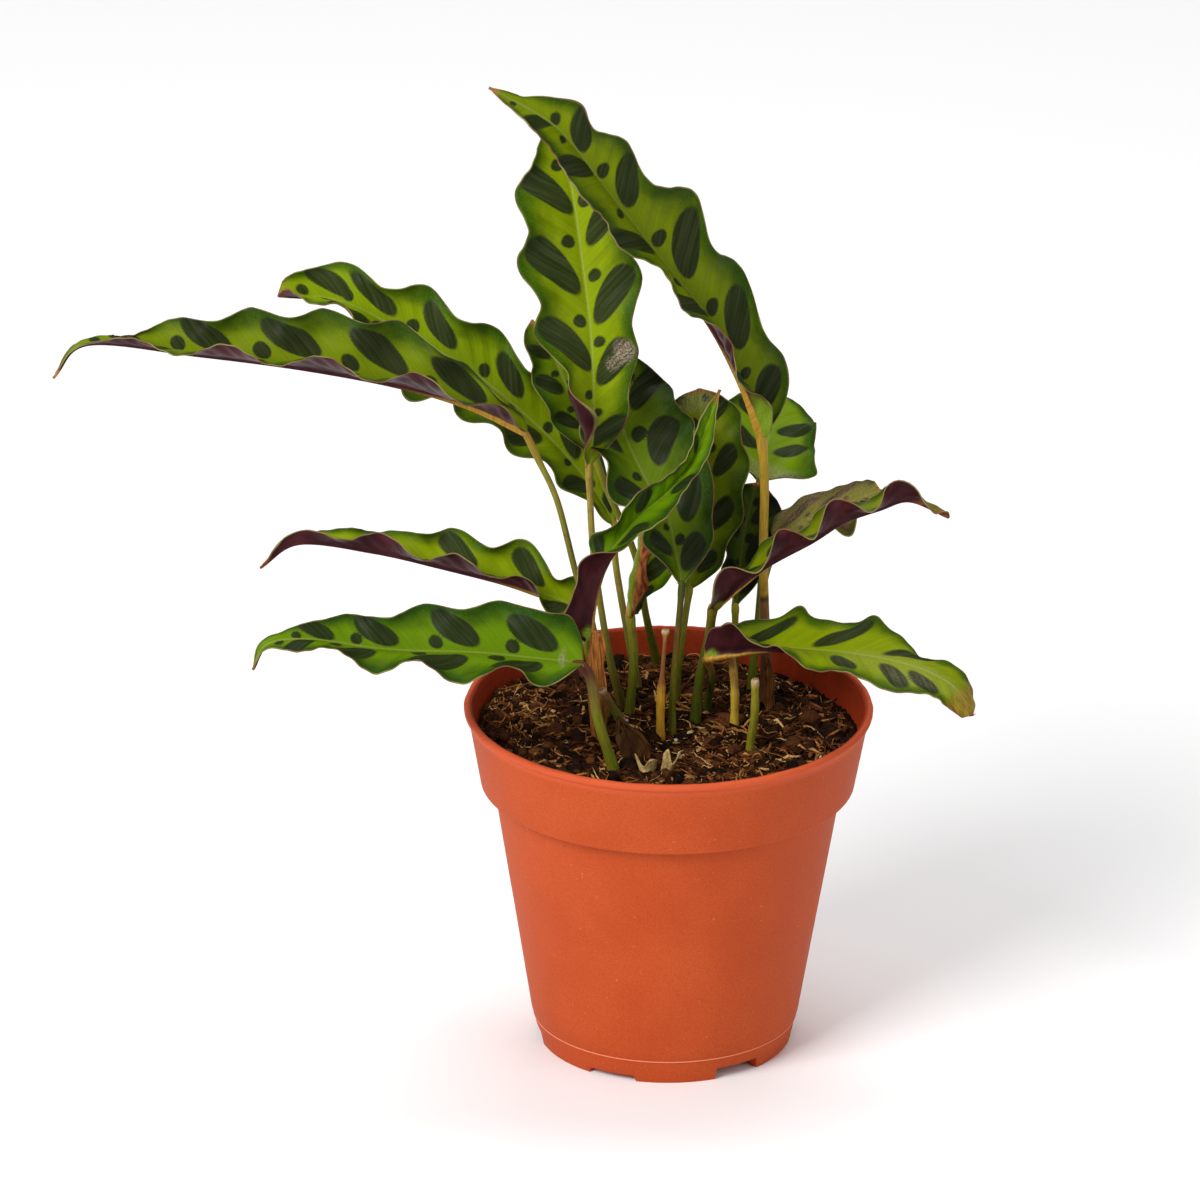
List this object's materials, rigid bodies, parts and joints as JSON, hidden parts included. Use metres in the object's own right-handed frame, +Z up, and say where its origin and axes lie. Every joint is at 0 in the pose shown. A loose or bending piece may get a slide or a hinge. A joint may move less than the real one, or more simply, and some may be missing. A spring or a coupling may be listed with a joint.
{
  "type": "potted rattlesnake plant",
  "caption": "Rattlesnake plant with long wavy-edged patterned leaves on slender stalks, growing from soil in a round plastic nursery pot.",
  "frame": {"origin": "centre of the pot's foot, on the surface it stands on", "axes": "+Z up the pot's axis; -Y towards the show side; +X to the right as seen from the show side"},
  "size_m": [0.2353, 0.1166, 0.2658],
  "materials": {
    "terracotta": "matt moulded plastic, terracotta orange",
    "soil": "loose moist potting soil",
    "leaf": "satin leaf with dark oval marks and a purple underside",
    "stalk": "smooth yellow-green stalk",
    "dry": "dry brown sheath"
  },
  "bodies": {
    "root": {"pot": "terracotta", "soil": "soil", "blade_tall_arching": "leaf", "blade_tall_upright": "leaf", "blade_long_left": "leaf", "blade_back_left": "leaf", "blade_small_back": "leaf", "blade_broad_centre": "leaf", "blade_twisted_front": "leaf", "blade_rolled_centre": "leaf", "blade_inner_right": "leaf", "blade_shaded_right": "leaf", "blade_far_right": "leaf", "blade_grey_right": "leaf", "blade_wavy_right": "leaf", "blade_low_right": "leaf", "blade_low_left": "leaf", "blade_middle_left": "leaf", "stalk_tall_arching": "stalk", "stalk_tall_upright": "stalk", "stalk_long_left": "stalk", "stalk_back_left": "stalk", "stalk_small_back": "stalk", "stalk_broad_centre": "stalk", "stalk_twisted_front": "stalk", "stalk_rolled_centre": "stalk", "stalk_inner_right": "stalk", "stalk_shaded_right": "stalk", "stalk_far_right": "stalk", "stalk_grey_right": "stalk", "stalk_wavy_right": "stalk", "stalk_low_right": "stalk", "stalk_low_left": "stalk", "stalk_middle_left": "stalk", "tall_stub": "stalk", "right_stub": "stalk", "front_stub": "stalk", "left_stub": "stalk", "dry_sheath_left": "dry", "dry_flap_front": "dry", "dry_sheath_right": "dry"}
  },
  "joints": []
}
